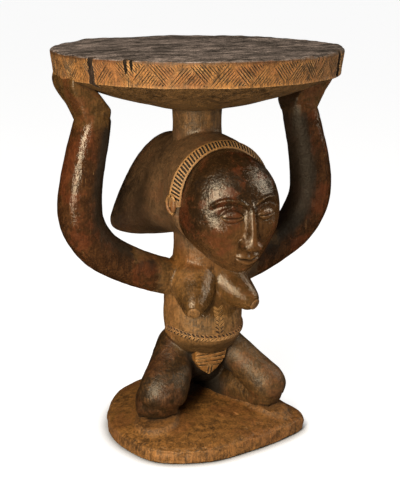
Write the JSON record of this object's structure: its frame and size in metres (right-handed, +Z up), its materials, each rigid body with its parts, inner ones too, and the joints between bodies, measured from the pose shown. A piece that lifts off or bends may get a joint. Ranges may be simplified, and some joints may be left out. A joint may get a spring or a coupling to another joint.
{
  "type": "caryatid stool",
  "caption": "Carved wooden stool: a kneeling woman on a domed base holds up a round seat with raised hands and a short column on her head.",
  "frame": {"origin": "on the ground under the middle of the round seat", "axes": "+Z up through the seat, -Y the way the figure faces, +X towards the figure's left hand"},
  "size_m": [0.3396, 0.325, 0.445],
  "materials": {
    "dark_wood": "hand-carved dark wood, oiled and rubbed glossy on the figure, worn tan on the rim and the base's edge"
  },
  "bodies": {
    "root": {"caryatid_stool": "dark_wood"}
  },
  "joints": []
}
